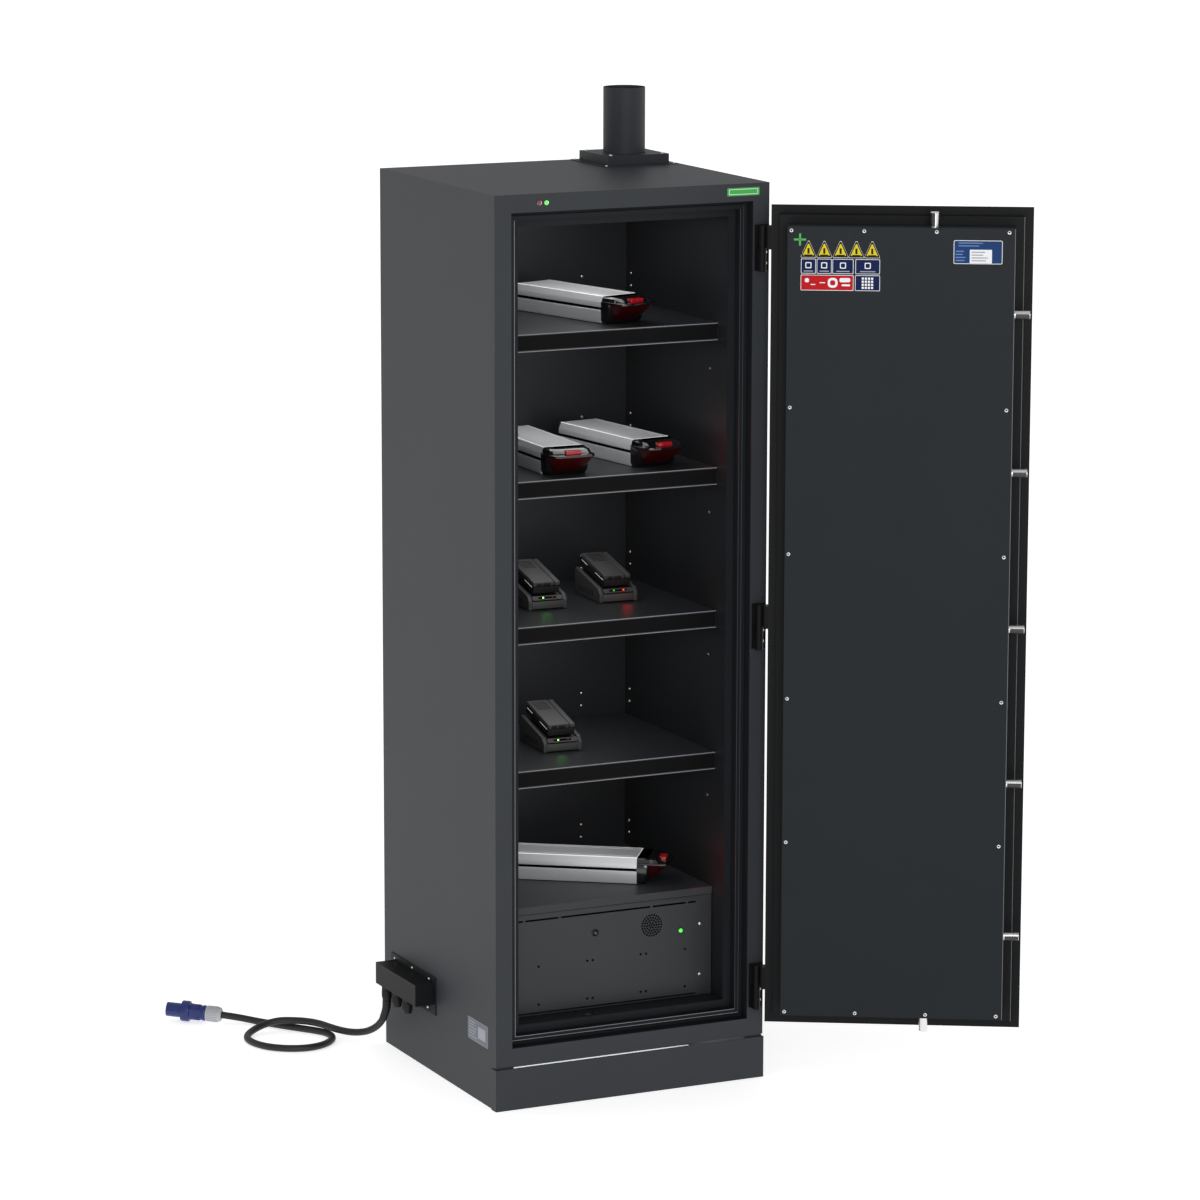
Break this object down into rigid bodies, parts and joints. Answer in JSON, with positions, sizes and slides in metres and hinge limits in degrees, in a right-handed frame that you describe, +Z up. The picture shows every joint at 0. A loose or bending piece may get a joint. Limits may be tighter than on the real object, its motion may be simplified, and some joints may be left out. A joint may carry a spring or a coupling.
{
  "type": "battery storage and charging cabinet",
  "caption": "Tall fire-rated cabinet for storing and charging lithium batteries, with an open bolted door, shelves, a service unit, a roof exhaust and a mains cord.",
  "frame": {"origin": "on the floor, at the middle of the cabinet's footprint, on the underside of the plinth's middle strap", "axes": "+Z up, -Y out of the cabinet's front, +X towards the hinge side"},
  "size_m": [1.5155, 1.3912, 2.164],
  "materials": {
    "powder_coat": "fine-textured anthracite powder coat",
    "liner_paint": "dark grey smooth paint, low gloss",
    "door_paint": "dark grey smooth paint, low gloss",
    "insulation": "dark grey fire-board, matte",
    "seal_rubber": "black seal strip, matte",
    "bright_steel": "bright zinc-plated steel",
    "aluminium": "brushed extrusion",
    "black_plastic": "fine-grained moulding",
    "cable_rubber": "black cable sheath",
    "blue_plastic": "blue connector moulding",
    "grey_plastic": "light grey moulding",
    "red_lens": "clear red lens",
    "green_lens": "clear green lens"
  },
  "bodies": {
    "cabinet": {"outer_casing": "powder_coat", "insulation_jacket": "insulation", "inner_liner": "liner_paint", "front_frame": "powder_coat", "frame_seal": "seal_rubber", "plinth_frame": "powder_coat", "plinth_cover": "powder_coat", "shelf_1": "liner_paint", "shelf_2": "liner_paint", "shelf_3": "liner_paint", "shelf_4": "liner_paint", "lamp_red": "red_lens", "lamp_green": "green_lens", "service_casing": "liner_paint", "service_top": "liner_paint", "service_cover": "liner_paint", "fan_housing": "black_plastic", "control_module": "black_plastic", "sensor_dome": "black_plastic", "unit_lamp": "green_lens", "exhaust_plate": "powder_coat", "exhaust_flange": "powder_coat", "exhaust_pipe": "powder_coat", "inlet_box": "powder_coat", "gland_1": "black_plastic", "gland_2": "black_plastic", "gland_3": "black_plastic", "mains_cord": "cable_rubber", "plug_nut": "grey_plastic", "plug_body": "blue_plastic", "hinge_frame_1": "powder_coat", "hinge_frame_2": "powder_coat", "hinge_frame_3": "powder_coat"},
    "door": {"door_skin": "door_paint", "door_core": "door_paint", "door_panel": "door_paint", "handle_rose": "black_plastic", "lock_cylinder": "bright_steel", "hinge_door_1": "powder_coat", "hinge_door_2": "powder_coat", "hinge_door_3": "powder_coat"},
    "side_bolts": {"side_boltwork": "bright_steel"},
    "upper_bolt": {"top_bolt": "bright_steel"},
    "lower_bolt": {"bottom_bolt": "bright_steel"},
    "handle": {"handle_lever": "powder_coat", "bolt_cam": "bright_steel"},
    "fan_wheel": {"fan_impeller": "black_plastic"},
    "flap": {"exhaust_flap": "bright_steel"},
    "battery_pack_1": {"pack_1": "aluminium"},
    "battery_pack_2": {"pack_2": "aluminium"},
    "battery_pack_3": {"pack_3": "aluminium"},
    "battery_pack_4": {"pack_4": "aluminium"},
    "charger_body_1": {"charger_1": "black_plastic"},
    "tool_battery_body_1": {"tool_battery_1": "black_plastic"},
    "charger_body_2": {"charger_2": "black_plastic"},
    "tool_battery_body_2": {"tool_battery_2": "black_plastic"},
    "charger_body_3": {"charger_3": "black_plastic"},
    "tool_battery_body_3": {"tool_battery_3": "black_plastic"}
  },
  "joints": [
    {"name": "door_hinge", "type": "hinge", "parent": "cabinet", "child": "door", "pos_m": [0.2997, -0.3254, 1], "axis": [0, 0, 1], "range_deg": [-150, 25]},
    {"name": "handle_turn", "type": "hinge", "parent": "door", "child": "handle", "pos_m": [0.73599, -0.59912, 1.12], "axis": [-0.5, -0.866, 0], "range_deg": [-90, 0]},
    {"name": "side_bolts_slide", "type": "slide", "parent": "door", "child": "side_bolts", "axis": [0.866, -0.5, 0], "range_m": [-0.033, 0]},
    {"name": "upper_bolt_slide", "type": "slide", "parent": "door", "child": "upper_bolt", "axis": [0, 0, 1], "range_m": [-0.033, 0]},
    {"name": "lower_bolt_slide", "type": "slide", "parent": "door", "child": "lower_bolt", "axis": [0, 0, -1], "range_m": [-0.033, 0]},
    {"name": "fan_spin", "type": "hinge", "parent": "cabinet", "child": "fan_wheel", "pos_m": [0.0999, -0.191, 0.3474], "axis": [0, 1, 0], "continuous": true},
    {"name": "flap_turn", "type": "hinge", "parent": "cabinet", "child": "flap", "pos_m": [0.225, 0.2065, 2.06], "axis": [1, 0, 0], "range_deg": [0, 85]},
    {"name": "battery_pack_1_lift_out", "type": "slide", "parent": "cabinet", "child": "battery_pack_1", "axis": [0, -1, 0], "range_m": [0, 0.35]},
    {"name": "battery_pack_2_lift_out", "type": "slide", "parent": "cabinet", "child": "battery_pack_2", "axis": [0, -1, 0], "range_m": [0, 0.35]},
    {"name": "battery_pack_3_lift_out", "type": "slide", "parent": "cabinet", "child": "battery_pack_3", "axis": [0, -1, 0], "range_m": [0, 0.35]},
    {"name": "battery_pack_4_lift_out", "type": "slide", "parent": "cabinet", "child": "battery_pack_4", "axis": [0, -1, 0], "range_m": [0, 0.35]},
    {"name": "charger_1_lift_out", "type": "slide", "parent": "cabinet", "child": "charger_body_1", "axis": [0, -1, 0], "range_m": [0, 0.35]},
    {"name": "tool_battery_1_undock", "type": "slide", "parent": "charger_body_1", "child": "tool_battery_body_1", "axis": [0.0563, 0.9765, 0.2079], "range_m": [0, 0.06]},
    {"name": "charger_2_lift_out", "type": "slide", "parent": "cabinet", "child": "charger_body_2", "axis": [0, -1, 0], "range_m": [0, 0.35]},
    {"name": "tool_battery_2_undock", "type": "slide", "parent": "charger_body_2", "child": "tool_battery_body_2", "axis": [0.0461, 0.9771, 0.2079], "range_m": [0, 0.06]},
    {"name": "charger_3_lift_out", "type": "slide", "parent": "cabinet", "child": "charger_body_3", "axis": [0, -1, 0], "range_m": [0, 0.35]},
    {"name": "tool_battery_3_undock", "type": "slide", "parent": "charger_body_3", "child": "tool_battery_body_3", "axis": [0.0427, 0.9772, 0.2079], "range_m": [0, 0.06]}
  ],
  "couplings": [
    {"joint": "side_bolts_slide", "follows": "handle_turn", "m_per_rad": 0.021},
    {"joint": "upper_bolt_slide", "follows": "handle_turn", "m_per_rad": 0.021},
    {"joint": "lower_bolt_slide", "follows": "handle_turn", "m_per_rad": 0.021}
  ]
}
